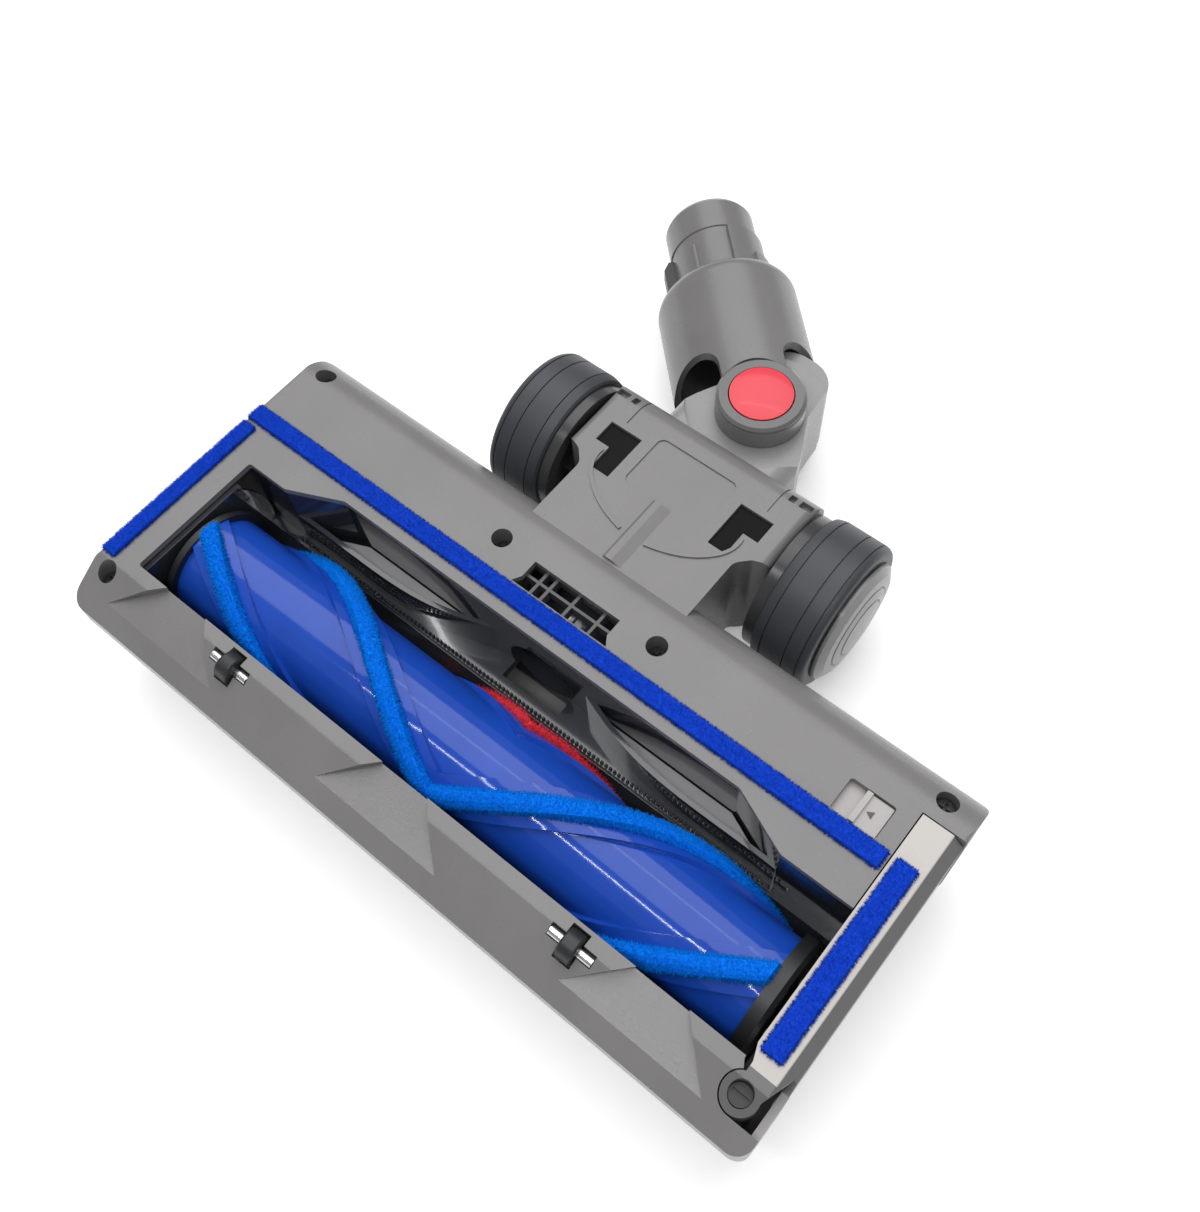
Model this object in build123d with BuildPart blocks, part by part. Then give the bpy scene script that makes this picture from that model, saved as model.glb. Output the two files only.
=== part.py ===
from build123d import *
import os
from math import cos, radians, sin, sqrt

os.makedirs("parts", exist_ok=True)

# Powered floor head of a stick cleaner, lying on its top with the sole up and the neck swung to one side
# Millimetres: X along the brush, Y from the brush back to the neck, Z up out of the sole

# Head
head_width = 250.0
head_front = 39.1          # brush axis to the front edge
head_rear = 75.0           # brush axis to the back wall
sole_height = 51.0         # top of the housing to the sole
wall = 2.2
front_crest = 23.8         # brush axis to the top of the front bevel
front_drop = 9.0           # fall of the front bevel
seam_depth = 10.0          # sole to the seam between soleplate and top housing
roll_radius = 15.0         # rolled back edge of the sole
middle_x = -2.2            # middle of the mouth, the carriage and the neck

# Fits
gap = 0.4                  # between pieces that move past each other
slip = 0.06                # round a pin that turns
seat = 0.05                # between pieces that are glued or clipped together
felt_slack = 0.1           # round a felt in its groove

# Mouth and throat
mouth_end = 13.5           # end of the head to the end of the mouth
mouth_half = head_width / 2 - mouth_end
mouth_front = 19.4
mouth_rear = 26.3
mouth_middle = 34.4        # back edge of the mouth in its wide middle part
step_left = 15.5           # end of the mouth to where its back edge steps out
step_right = 22.5
lip_heel = 27.0
chamber_radius = 24.4
chamber_wall = 1.5
chamber_clear = 0.5        # under the chamber, to the floor of the housing
throat_floor = 28.7        # sole to the floor of the throat
ridge_depth = 15.0         # sole to the top of the funnel wall
shelf_depth = 22.0
duct_radius = 13.4
duct_drop = 24.0

# Brush
brush_drop = sole_height - wall - chamber_clear - chamber_wall - chamber_radius
lip_rise = 14.4            # brush axis to the underside of the front lip
lip_depth = brush_drop - lip_rise
trough_front = 2.9         # sole to the line that ends the trough in front, 40 mm out
brush_radius = 17.25
brush_bore = 14.2
brush_end_left = 5.5       # end of the mouth to the end of the tube
brush_end_right = 6.3
brush_left = -mouth_half + brush_end_left
brush_right = mouth_half - brush_end_right
ring_radius = 19.5
plush_radius = 23.2
plush_spread = 19.0        # degrees round the brush
bristle_spread = 11.0
ridge_spread = 12.0
ridge_height = 1.6
helix_rate = 1.8           # degrees per millimetre along the brush
motor_radius = 13.0
motor_length = 94.0
motor_left = brush_left + 3.8
shaft_radius = 2.5
stub_radius = 4.0

# Felts and front rollers
felt_height = 1.5
felt_groove = 0.6
felt_width = 5.5
felt_length = head_width - 15.0
felt_middle = -7.1
felt_y = 41.15
end_felt_width = 5.0
end_felt_length = 58.6
end_felt_x = -head_width / 2 + 2.9
end_felt_y = 7.2
roller_half_span = mouth_half - 48.0
roller_y = -25.35
roller_radius = 4.5
roller_width = 5.0
roller_axle_radius = 1.5
roller_drop = 2.2

# Screws
screw_head_radius = 3.0
screw_radius = 1.5
screw_seat_depth = 9.0
screw_length = 11.0
screw_end = 7.5            # end of the head to the corner screws

# End door and latch
door_inner = mouth_half + 0.3
door_outer = head_width / 2 - 0.3
door_rear = 58.2
door_plate = 3.2
door_felt_width = 6.0
door_felt_length = 60.0
door_felt_y = 14.0
door_depth = 44.0
pivot_x = door_inner + 3.7
door_felt_x = door_inner + 4.5
pivot_y = -27.0
knuckle_radius = 5.2
latch_left = door_inner - 20.3
latch_right = door_inner - 6.0
latch_front = 44.6
latch_back = 55.3
latch_travel = 5.0

# Carriage and wheels
wheel_y = 105.5
wheel_drop = 23.2
wheel_radius = 25.0
tyre_inner = 42.7
tyre_outer = 62.1
rim_inner = 39.0
rim_radius = 20.6
axle_radius = 3.0
carriage_half = 38.1
carriage_neck_half = 29.2
carriage_drop = 2.0
carriage_rear = 125.1
carriage_round = 9.3
slot_half = 23.6
seam_half = 26.8           # middle of the carriage to its end seams

# Neck, tube and button
neck_drum = 18.5
arm_half = 22.6
arm_top = 7.1
trunnion_radius = 5.0
swivel_y = 144.5
swing = 46.5               # degrees the tube is swung to the left
tube_drop = 26.5
collar_radius = 24.5
collar_bore = 21.8
collar_end = 61.0          # swivel axis to the shoulder
spigot_radius = 16.0
spigot_bore = 14.0
spigot_end = 95.0
spigot_land = 12.0         # length of the full round end
spigot_relief = 0.4
lug_height = 1.2
cheek_radius = 14.5
swivel_pin = 5.0
button_radius = 10.2
button_travel = 2.0
cheek_clear = 10.6         # sole to the top of the tongue
tongue_clear = 12.8        # sole to the top of the tongue's end
boss_top = 3.5             # sole to the seat of the bezel

# Frame: the middle of the whole length is at Y zero
tail = swivel_y + spigot_end * cos(radians(swing)) + spigot_radius * sin(radians(swing))
brush_y = (head_front - tail) / 2
standing = (Align.CENTER, Align.CENTER, Align.MIN)
hanging = (Align.CENTER, Align.CENTER, Align.MAX)
sole = Plane(origin=(0, brush_y, sole_height))
side = Plane(origin=(0, brush_y, sole_height), x_dir=(0, 1, 0), z_dir=(1, 0, 0))
front = Plane(origin=(0, brush_y, sole_height), x_dir=(1, 0, 0), z_dir=(0, -1, 0))


def spot(x, y, z):
    """A point given along the brush, back from its axis and up from the sole."""
    return (x, brush_y + y, sole_height + z)


def head_form(inset):
    """The head's outer form, or the room inside it when set in by the wall."""
    with BuildPart() as form:
        with BuildSketch(side):
            with BuildLine():
                FilletPolyline(
                    (-front_crest, 0),
                    (-head_front, -front_drop),
                    (-head_front, -18),
                    (-24, -sole_height),
                    (50, -sole_height),
                    (head_rear, -34),
                    (head_rear, 0),
                    radius=(1.5, 0.8, 10, 18, 14, 12, roll_radius),
                    close=True,
                )
            make_face()
            if inset > 0:
                offset(amount=-inset)
        extrude(amount=head_width / 2 - inset, both=True)
        with BuildSketch(sole):
            with Locations((0, (head_rear - head_front) / 2)):
                RectangleRounded(head_width - 2 * inset, head_front + head_rear - 2 * inset, 5 - inset)
        extrude(amount=-sole_height, mode=Mode.INTERSECT)
        with BuildSketch(front):
            with BuildLine():
                FilletPolyline(
                    (-head_width / 2 + inset, -inset),
                    (-head_width / 2 + inset, -sole_height + inset),
                    (head_width / 2 - inset, -sole_height + inset),
                    (head_width / 2 - inset, -inset),
                    radius=(1.2, 14 - inset, 14 - inset, 1.2),
                    close=True,
                )
            make_face()
        extrude(amount=2 * head_rear, both=True, mode=Mode.INTERSECT)
    return form.part


head_outer = head_form(0)
head_room = head_form(wall)

# Places of the sole screws
screw_spots = {
    "sole_screw_middle_left": (-31.5, 54.0),
    "sole_screw_middle_right": (26.8, 54.0),
    "sole_screw_rear_left": (-head_width / 2 + screw_end, 65.5),
    "sole_screw_rear_right": (head_width / 2 - screw_end - 2.5, 65.5),
    "sole_screw_front_left": (-head_width / 2 + screw_end - 1.0, -26.5),
}

# Soleplate: rolled back edge, bevelled front lip, mouth, recesses for felts, rollers, screws and latch
with BuildPart() as sole_room:
    add(head_room)
    with BuildSketch(side):
        with BuildLine():
            Polyline(
                (-mouth_front, 5),
                (-mouth_front, -lip_depth),
                (-lip_heel, -seam_depth),
                (-lip_heel, -2 * seam_depth),
                (-2 * head_front, -2 * seam_depth),
                (-2 * head_front, 5),
                close=True,
            )
        make_face()
    extrude(amount=head_width, both=True, mode=Mode.SUBTRACT)

with BuildPart() as soleplate:
    add(head_outer)
    split(bisect_by=sole.offset(-seam_depth), keep=Keep.TOP)
    add(sole_room.part, mode=Mode.SUBTRACT)
    for screw_x, screw_y in screw_spots.values():
        with Locations(spot(screw_x, screw_y, -seam_depth)):
            Cylinder(4.8, 8.6, align=standing)
    add(head_outer, mode=Mode.INTERSECT)
    with BuildSketch(sole):
        with BuildLine():
            FilletPolyline(
                (-mouth_half, -mouth_front),
                (mouth_half + 2, -mouth_front),
                (mouth_half + 2, mouth_rear),
                (mouth_half - step_right, mouth_rear),
                (mouth_half - step_right - 19, mouth_middle),
                (-mouth_half + step_left + 18, mouth_middle),
                (-mouth_half + step_left, mouth_rear),
                (-mouth_half, mouth_rear),
                radius=(1, 0, 0, 3, 3, 3, 3, 1),
                close=True,
            )
        make_face()
    extrude(amount=-2 * seam_depth, mode=Mode.SUBTRACT)
    # Grille window
    with BuildSketch(sole):
        with BuildLine():
            Polyline((-20, 45), (-18.3, 47.8), (-18.3, 54), (13.5, 54), (13.5, 48), (15.5, 45), close=True)
        make_face()
    extrude(amount=-2 * seam_depth, mode=Mode.SUBTRACT)
    # Ramps in the front lip
    ramp_floor = Plane(origin=spot(0, -mouth_front, -2.5), x_dir=(1, 0, 0), z_dir=(0, -0.2195, 0.9756))
    with BuildSketch(ramp_floor):
        for ramp_x in (-mouth_half + 23.3, 0, mouth_half - 23.3):
            with BuildLine():
                Polyline(
                    (middle_x + ramp_x - 7, 2),
                    (middle_x + ramp_x + 7, 2),
                    (middle_x + ramp_x + 22.7, -14.4),
                    (middle_x + ramp_x - 22.7, -14.4),
                    close=True,
                )
            make_face()
    extrude(amount=12, mode=Mode.SUBTRACT)
    # Pockets of the front rollers
    for turn in (-1, 1):
        with Locations(spot(middle_x + turn * roller_half_span, roller_y, -roller_drop - roller_radius - gap)):
            Box(roller_width + 0.8, 9.6, 12, align=standing, mode=Mode.SUBTRACT)
        with Locations(spot(middle_x + turn * roller_half_span, roller_y, -roller_drop - roller_axle_radius)):
            Box(14.5, 3.4, 12, align=standing, mode=Mode.SUBTRACT)
    # Latch tray and slot
    with Locations(spot(latch_left - 9, latch_front - 1.8, -7)):
        Box(28.2, 14.3, 5.5, align=(Align.MIN, Align.MIN, Align.MIN))
    with Locations(spot(latch_left - 8, latch_front - 0.9, -5.1)):
        Box(30, 12.5, 2.9, align=(Align.MIN, Align.MIN, Align.MIN), mode=Mode.SUBTRACT)
    with BuildSketch(sole):
        with Locations(((latch_left + latch_right) / 2, (latch_front + latch_back) / 2)):
            RectangleRounded(latch_right - latch_left, latch_back - latch_front, 1)
    extrude(amount=-5, mode=Mode.SUBTRACT)
    # Grooves of the felts
    with BuildSketch(sole):
        with Locations((felt_middle, felt_y)):
            Rectangle(felt_length + 2 * felt_slack, felt_width + 2 * felt_slack)
        with Locations((end_felt_x, end_felt_y)):
            Rectangle(end_felt_width + 2 * felt_slack, end_felt_length + 2 * felt_slack)
    extrude(amount=-felt_groove, mode=Mode.SUBTRACT)
    # Screw recesses
    for screw_x, screw_y in screw_spots.values():
        with Locations(spot(screw_x, screw_y, -screw_seat_depth)):
            Cylinder(screw_head_radius + 0.25, 20, align=standing, mode=Mode.SUBTRACT)
            Cylinder(screw_radius + 0.2, 20, mode=Mode.SUBTRACT)
    # Room of the end door
    with BuildSketch(sole):
        with BuildLine():
            Polyline(
                (door_inner - gap, door_rear + gap),
                (head_width, door_rear + gap),
                (head_width, pivot_y - knuckle_radius - gap),
                (pivot_x, pivot_y - knuckle_radius - gap),
                (pivot_x, pivot_y),
                (door_inner - gap, -20),
                close=True,
            )
        make_face()
        with Locations((pivot_x, pivot_y)):
            Circle(knuckle_radius + gap)
    extrude(amount=-2 * seam_depth, mode=Mode.SUBTRACT)
soleplate.part.label = "soleplate"
export_step(soleplate.part, "parts/soleplate.step")

# Top housing: the tub that lies on the floor, with screw towers, the door's side opening and the airway hole
with BuildPart() as top_housing:
    add(head_outer)
    add(head_room, mode=Mode.SUBTRACT)
    for screw_x, screw_y in list(screw_spots.values()) + [(pivot_x, pivot_y)]:
        with Locations(spot(screw_x, screw_y, -seam_depth)):
            Cylinder(4.6, sole_height, align=hanging)
    add(head_outer, mode=Mode.INTERSECT)
    split(bisect_by=sole.offset(-seam_depth), keep=Keep.BOTTOM)
    for screw_x, screw_y in list(screw_spots.values()) + [(pivot_x, pivot_y)]:
        with Locations(spot(screw_x, screw_y, -seam_depth)):
            Cylinder(screw_radius + seat, 2 * screw_length, mode=Mode.SUBTRACT)
    with Locations(spot(door_outer - wall - gap, pivot_y + 7.8, -door_depth - gap)):
        Box(
            10,
            door_rear + gap - pivot_y - 7.8,
            sole_height,
            align=(Align.MIN, Align.MIN, Align.MIN),
            mode=Mode.SUBTRACT,
        )
    with Locations(spot(middle_x, head_rear, -duct_drop)):
        Cylinder(duct_radius + 0.2, 20, rotation=(90, 0, 0), mode=Mode.SUBTRACT)
top_housing.part.label = "top_housing"
export_step(top_housing.part, "parts/top_housing.step")

# Funnel wall in plan, from the chamber's back edge to the middle of the throat
funnel_plan = [
    (mouth_half - 17.5, mouth_rear + 0.9),
    (60, mouth_rear + 1.1),
    (40, 29),
    (26, 32.5),
    (18, mouth_middle + 0.9),
]

# Brush chamber: trough round the brush, left end wall, throat floor, funnel walls and the wall under the mouth
with BuildPart() as brush_chamber:
    trough_face = Plane(origin=spot(-mouth_half + 0.2, 0, -brush_drop), x_dir=(0, 1, 0), z_dir=(1, 0, 0))
    with BuildSketch(trough_face):
        Circle(chamber_radius + chamber_wall)
        Circle(chamber_radius, mode=Mode.SUBTRACT)
        with BuildLine():
            Polyline(
                (0, 0),
                (-40, brush_drop - trough_front),
                (-40, 40),
                (60, 40),
                (60, brush_drop - throat_floor),
                (0, brush_drop - throat_floor),
                close=True,
            )
        make_face(mode=Mode.SUBTRACT)
    extrude(amount=2 * mouth_half - 1.3)
    # Left end wall
    with BuildSketch(trough_face):
        Circle(chamber_radius + chamber_wall)
        with Locations((0, 0)):
            Rectangle(2 * mouth_front, 2 * (brush_drop - wall - 0.3))
        with BuildLine():
            Polyline((-40, 40), (-40, 0), (0, 0), (-40, brush_drop - trough_front), close=True)
        with Locations((0, 30)):
            Rectangle(80, 20, mode=Mode.SUBTRACT)
        with Locations((-40, 0)):
            Rectangle(41.8, 80, mode=Mode.SUBTRACT)
    extrude(amount=1.6)
    # Throat floor
    with BuildSketch(sole.offset(-throat_floor)):
        with BuildLine():
            Polyline(
                [(-mouth_half + 0.2, 23.4), (mouth_half - 0.4, 23.4), (mouth_half - 0.4, mouth_rear + 0.9)]
                + [(middle_x + x, y) for x, y in funnel_plan]
                + [(middle_x - x, y) for x, y in reversed(funnel_plan)]
                + [(-mouth_half + 0.2, mouth_rear + 0.9)],
                close=True,
            )
        make_face()
    extrude(amount=-chamber_wall)
    # Funnel walls
    with BuildSketch(sole.offset(-throat_floor - chamber_wall)):
        with BuildLine():
            Spline([(middle_x + x, y) for x, y in funnel_plan])
            Spline([(middle_x - x, y) for x, y in funnel_plan])
        trace(line_width=chamber_wall)
    extrude(amount=throat_floor + chamber_wall - ridge_depth)
    # Wall under the back edge of the mouth
    with BuildSketch(sole.offset(-wall - 0.1)):
        with BuildLine():
            Polyline(
                (-mouth_half + 0.2, mouth_rear + 0.9),
                (-mouth_half + step_left, mouth_rear + 0.9),
                (-mouth_half + step_left + 18, mouth_middle + 0.9),
                (mouth_half - step_right - 19, mouth_middle + 0.9),
                (mouth_half - step_right, mouth_rear + 0.9),
                (mouth_half - 0.4, mouth_rear + 0.9),
            )
        trace(line_width=chamber_wall)
    extrude(amount=-(throat_floor + chamber_wall - wall - 0.1))
    with Locations(spot(middle_x, mouth_middle, -duct_drop)):
        Cylinder(duct_radius - 1.4, 12, rotation=(90, 0, 0), mode=Mode.SUBTRACT)
    # Cradle of the right bearing
    cradle_face = Plane(origin=spot(mouth_half - 1.1, 0, -brush_drop), x_dir=(0, 1, 0), z_dir=(1, 0, 0))
    with BuildSketch(cradle_face):
        Circle(chamber_radius + chamber_wall)
        with Locations((0, 30)):
            Rectangle(80, 60, mode=Mode.SUBTRACT)
        with Locations((0, -17)):
            Rectangle(18, 34, mode=Mode.INTERSECT)
        Circle(7 + seat, mode=Mode.SUBTRACT)
    extrude(amount=4.1)
    with Locations(spot(-mouth_half, 0, -brush_drop)):
        Cylinder(8, 10, rotation=(0, 90, 0), mode=Mode.SUBTRACT)
brush_chamber.part.label = "brush_chamber"
export_step(brush_chamber.part, "parts/brush_chamber.step")

# Grey shelves behind the funnel walls
for shelf_name, shelf_side in (("shelf_left", -1), ("shelf_right", 1)):
    with BuildPart() as shelf:
        with BuildSketch(sole.offset(-shelf_depth)):
            with BuildLine():
                Polyline(
                    (middle_x + shelf_side * (mouth_half - 40.5), mouth_middle - 0.2),
                    (middle_x + shelf_side * 22, mouth_middle - 0.2),
                    (middle_x + shelf_side * 27, 33.5),
                    (middle_x + shelf_side * 41, 30.2),
                    (middle_x + shelf_side * 60, mouth_rear + 2.2),
                    (middle_x + shelf_side * (mouth_half - 27.5), mouth_rear + 2.2),
                    close=True,
                )
            make_face()
        extrude(amount=-1.6)
        add(brush_chamber.part, mode=Mode.SUBTRACT)
    shelf.part.label = shelf_name
    export_step(shelf.part, f"parts/{shelf_name}.step")

# Airway duct: flange on the throat's back wall and a pipe out through the housing's back
duct_face = Plane(origin=spot(middle_x, mouth_middle + 1.7, -duct_drop), x_dir=(-1, 0, 0), z_dir=(0, 1, 0))
with BuildPart() as airway_duct:
    with BuildSketch(duct_face):
        RectangleRounded(38, 30, 4)
    extrude(amount=1.6)
    with BuildSketch(duct_face):
        Circle(duct_radius)
    extrude(amount=86 - mouth_middle - 1.7)
    with BuildSketch(duct_face):
        Circle(duct_radius - 1.4)
    extrude(amount=100, mode=Mode.SUBTRACT)
airway_duct.part.label = "airway_duct"
export_step(airway_duct.part, "parts/airway_duct.step")

# Grille under the window in the sole
with BuildPart() as airway_grille:
    with BuildSketch(sole.offset(-wall - 0.1)):
        with Locations((middle_x, 49.5)):
            Rectangle(40, 14)
            Rectangle(34.5, 9.6, mode=Mode.SUBTRACT)
        for rib_x in (-13.8, -10, -1.5, 8):
            with Locations((rib_x, 49.5)):
                Rectangle(1, 13)
        with Locations((middle_x, 50)):
            Rectangle(38, 0.9)
    extrude(amount=-4)
airway_grille.part.label = "airway_grille"
export_step(airway_grille.part, "parts/airway_grille.step")

# Felts
with BuildPart() as rear_felt:
    with Locations(spot(felt_middle, felt_y, -felt_groove)):
        Box(felt_length, felt_width, felt_height + felt_groove, align=standing)
    fillet(rear_felt.edges().filter_by(Axis.X).group_by(Axis.Z)[-1], 0.7)
rear_felt.part.label = "rear_felt"
export_step(rear_felt.part, "parts/rear_felt.step")

with BuildPart() as left_felt:
    with Locations(spot(end_felt_x, end_felt_y, -felt_groove)):
        Box(end_felt_width, end_felt_length, felt_height + felt_groove, align=standing)
    fillet(left_felt.edges().filter_by(Axis.Y).group_by(Axis.Z)[-1], 0.7)
left_felt.part.label = "left_felt"
export_step(left_felt.part, "parts/left_felt.step")

# Comb strip along the back edge of the chamber
with BuildPart() as comb_strip:
    with Locations(spot(middle_x, 24.6, -throat_floor)):
        Box(2 * mouth_half - 33, 1.4, 1.4, align=standing)
comb_strip.part.label = "comb_strip"
export_step(comb_strip.part, "parts/comb_strip.step")

# Sole screws
for screw_name, (screw_x, screw_y) in screw_spots.items():
    with BuildPart() as sole_screw:
        with Locations(spot(screw_x, screw_y, -screw_seat_depth)):
            Cylinder(screw_head_radius, 2, align=standing)
            Cylinder(screw_radius, screw_length, align=hanging)
        with Locations(spot(screw_x, screw_y, -screw_seat_depth + 2)):
            Box(3.6, 0.9, 1.6, mode=Mode.SUBTRACT)
            Box(0.9, 3.6, 1.6, mode=Mode.SUBTRACT)
    sole_screw.part.label = screw_name
    export_step(sole_screw.part, f"parts/{screw_name}.step")

# Pivot screw of the end door
with BuildPart() as door_pivot_screw:
    with Locations(spot(pivot_x, pivot_y, -6)):
        Cylinder(screw_head_radius, 2, align=standing)
    with Locations(spot(pivot_x, pivot_y, -6)):
        Cylinder(screw_radius, 14, align=hanging)
    with Locations(spot(pivot_x, pivot_y, -4)):
        Box(5, 1, 1.6, mode=Mode.SUBTRACT)
door_pivot_screw.part.label = "door_pivot_screw"
export_step(door_pivot_screw.part, "parts/door_pivot_screw.step")

# Motor inside the brush, on its mount in the left end wall
with BuildPart() as motor_mount:
    with Locations(spot(-mouth_half + 1.85, 0, -brush_drop)):
        Cylinder(15, 1.2, rotation=(0, 90, 0), align=standing)
        Cylinder(motor_radius, 7.4, rotation=(0, 90, 0), align=standing)
        Cylinder(7.9, 3, rotation=(0, 90, 0))
motor_mount.part.label = "motor_mount"
export_step(motor_mount.part, "parts/motor_mount.step")

with BuildPart() as brush_motor:
    with Locations(spot(motor_left, 0, -brush_drop)):
        Cylinder(motor_radius, motor_length, rotation=(0, 90, 0), align=standing)
    with Locations(spot(motor_left + motor_length, 0, -brush_drop)):
        Cylinder(shaft_radius, 12, rotation=(0, 90, 0), align=standing)
    chamfer(brush_motor.edges().filter_by(GeomType.CIRCLE).group_by(Axis.X)[-2], 1.5)
brush_motor.part.label = "brush_motor"
export_step(brush_motor.part, "parts/brush_motor.step")

# Bearing bush in the cradle at the right end
with BuildPart() as end_bush:
    with Locations(spot(mouth_half - 0.3, 0, -brush_drop)):
        Cylinder(7, 3.2, rotation=(0, 90, 0), align=standing)
        Cylinder(stub_radius + slip, 20, rotation=(0, 90, 0), mode=Mode.SUBTRACT)
end_bush.part.label = "end_bush"
export_step(end_bush.part, "parts/end_bush.step")


def brush_section(apex_x, angle, inner, outer, spread):
    """A piece of ring at the apex of a strip, its middle at an angle from straight up toward the back."""
    apex = Plane(origin=spot(apex_x, 0, -brush_drop), x_dir=(0, 1, 0), z_dir=(1, 0, 0))
    with BuildSketch(apex) as section:
        with BuildLine():
            outer_arc = CenterArc((0, 0), outer, 90 - angle - spread / 2, spread)
            inner_arc = CenterArc((0, 0), inner, 90 - angle - spread / 2, spread)
            Line(outer_arc @ 0, inner_arc @ 0)
            Line(outer_arc @ 1, inner_arc @ 1)
        make_face()
    return section.sketch.face()


def brush_leg(apex_x, angle, inner, outer, spread, end_x):
    """One leg of a strip, wound from its apex to one end of the brush."""
    run = end_x - apex_x
    centre = spot(apex_x, 0, -brush_drop)
    section = brush_section(apex_x, angle, inner, outer, spread)
    return Solid.extrude_linear_with_rotation(section, centre, (run, 0, 0), -helix_rate * run)


# Strips: name, apex along the brush, angle at the apex, width in degrees
strips = (
    ("plush_strip_front", 1.0, -58.0, plush_spread),
    ("bristle_strip", 10.0, 58.0, bristle_spread),
    ("plush_strip_rear", 1.0, 176.0, plush_spread),
)

# Brush tube with a ridge on each side of every strip
with BuildPart() as brush_tube:
    with Locations(spot(brush_left, 0, -brush_drop)):
        Cylinder(brush_radius, brush_right - brush_left, rotation=(0, 90, 0), align=standing)
    for strip_name, apex_x, angle, spread in strips:
        for flank in (-1, 1):
            ridge_angle = angle + flank * (spread + ridge_spread + 1.0) / 2
            for end_x in (brush_left, brush_right):
                ridge_top = brush_radius + ridge_height
                add(brush_leg(apex_x, ridge_angle, brush_radius - 0.6, ridge_top, ridge_spread, end_x))
    with Locations(spot(brush_left, 0, -brush_drop)):
        Cylinder(brush_bore, 3 * head_width, rotation=(0, 90, 0), mode=Mode.SUBTRACT)
brush_tube.part.label = "brush_tube"
export_step(brush_tube.part, "parts/brush_tube.step")

for strip_name, apex_x, angle, spread in strips:
    with BuildPart() as strip:
        for end_x in (brush_left + 0.3, brush_right - 0.3):
            add(brush_leg(apex_x, angle, brush_radius + seat, plush_radius, spread, end_x))
    strip.part.label = strip_name
    export_step(strip.part, f"parts/{strip_name}.step")

# Black ring at the left end of the brush
with BuildPart() as brush_ring:
    with Locations(spot(brush_left - seat, 0, -brush_drop)):
        Cylinder(ring_radius, 2.2, rotation=(0, 90, 0), align=hanging)
        Cylinder(motor_radius + gap, 20, rotation=(0, 90, 0), mode=Mode.SUBTRACT)
brush_ring.part.label = "brush_ring"
export_step(brush_ring.part, "parts/brush_ring.step")

# Coupler that the motor turns
with BuildPart() as drive_coupler:
    with Locations(spot(motor_left + motor_length + 3.2, 0, -brush_drop)):
        Cylinder(brush_bore - seat, 8, rotation=(0, 90, 0), align=standing)
        Cylinder(shaft_radius + slip, 30, rotation=(0, 90, 0), mode=Mode.SUBTRACT)
drive_coupler.part.label = "drive_coupler"
export_step(drive_coupler.part, "parts/drive_coupler.step")

# Black end cap with the stub that runs in the bush
with BuildPart() as brush_end_cap:
    with Locations(spot(brush_right + seat, 0, -brush_drop)):
        Cylinder(ring_radius, 4.8, rotation=(0, 90, 0), align=standing)
        Cylinder(brush_bore - seat, 12, rotation=(0, 90, 0), align=hanging)
        Cylinder(stub_radius, 10, rotation=(0, 90, 0), align=standing)
    chamfer(brush_end_cap.edges().filter_by(GeomType.CIRCLE).group_by(Axis.X)[-2], 1.2)
brush_end_cap.part.label = "brush_end_cap"
export_step(brush_end_cap.part, "parts/brush_end_cap.step")

# Front rollers and their axles
for roller_side, turn in (("left", -1), ("right", 1)):
    with BuildPart() as front_roller:
        with Locations(spot(middle_x + turn * roller_half_span, roller_y, -roller_drop)):
            Cylinder(roller_radius, roller_width, rotation=(0, 90, 0))
            Cylinder(roller_axle_radius + slip, 20, rotation=(0, 90, 0), mode=Mode.SUBTRACT)
        fillet(front_roller.edges().filter_by(GeomType.CIRCLE).sort_by(SortBy.RADIUS)[-2:], 0.8)
    front_roller.part.label = f"front_roller_{roller_side}"
    export_step(front_roller.part, f"parts/front_roller_{roller_side}.step")
    with BuildPart() as front_axle:
        with Locations(spot(middle_x + turn * roller_half_span, roller_y, -roller_drop)):
            Cylinder(roller_axle_radius, 14.1, rotation=(0, 90, 0))
    front_axle.part.label = f"front_axle_{roller_side}"
    export_step(front_axle.part, f"parts/front_axle_{roller_side}.step")

# End door: top plate, side wall, inner flange and the knuckle round its pivot
with BuildPart() as end_door:
    with BuildSketch(sole):
        with BuildLine():
            Polyline(
                (door_inner, door_rear),
                (door_outer, door_rear),
                (door_outer, pivot_y + 14),
                (pivot_x + knuckle_radius - 0.2, pivot_y + 1),
                (pivot_x - 2, pivot_y + 1),
                (pivot_x - 2, pivot_y + 7.5),
                (door_inner, pivot_y + 12),
                close=True,
            )
        make_face()
    extrude(amount=-door_plate)
    with Locations(spot(pivot_x, pivot_y, -seam_depth + gap)):
        Cylinder(knuckle_radius, seam_depth, align=standing)
    with Locations(spot(door_outer, pivot_y + 10.5, 0)):
        Box(wall, door_rear - pivot_y - 10.5, door_depth, align=(Align.MAX, Align.MIN, Align.MAX))
    with Locations(spot(door_inner, -10, 0)):
        Box(1.8, door_rear + 10, 7.5, align=(Align.MIN, Align.MIN, Align.MAX))
    add(head_outer, mode=Mode.INTERSECT)
    with BuildSketch(front):
        with BuildLine():
            Polyline((head_width / 2 - 4, 0.1), (head_width / 2 + 5, 0.1), (head_width / 2 + 5, -9.1), close=True)
        make_face()
    extrude(amount=2 * head_rear, both=True, mode=Mode.SUBTRACT)
    with Locations(spot(pivot_x, pivot_y, -6)):
        Cylinder(screw_head_radius + 0.3, 20, align=standing, mode=Mode.SUBTRACT)
        Cylinder(screw_radius + slip, 40, mode=Mode.SUBTRACT)
    with Locations(spot(door_felt_x, door_felt_y, -felt_groove)):
        Box(door_felt_width + felt_slack, door_felt_length + 2 * felt_slack, 5, align=standing,
            mode=Mode.SUBTRACT)
end_door.part.label = "end_door"
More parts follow.
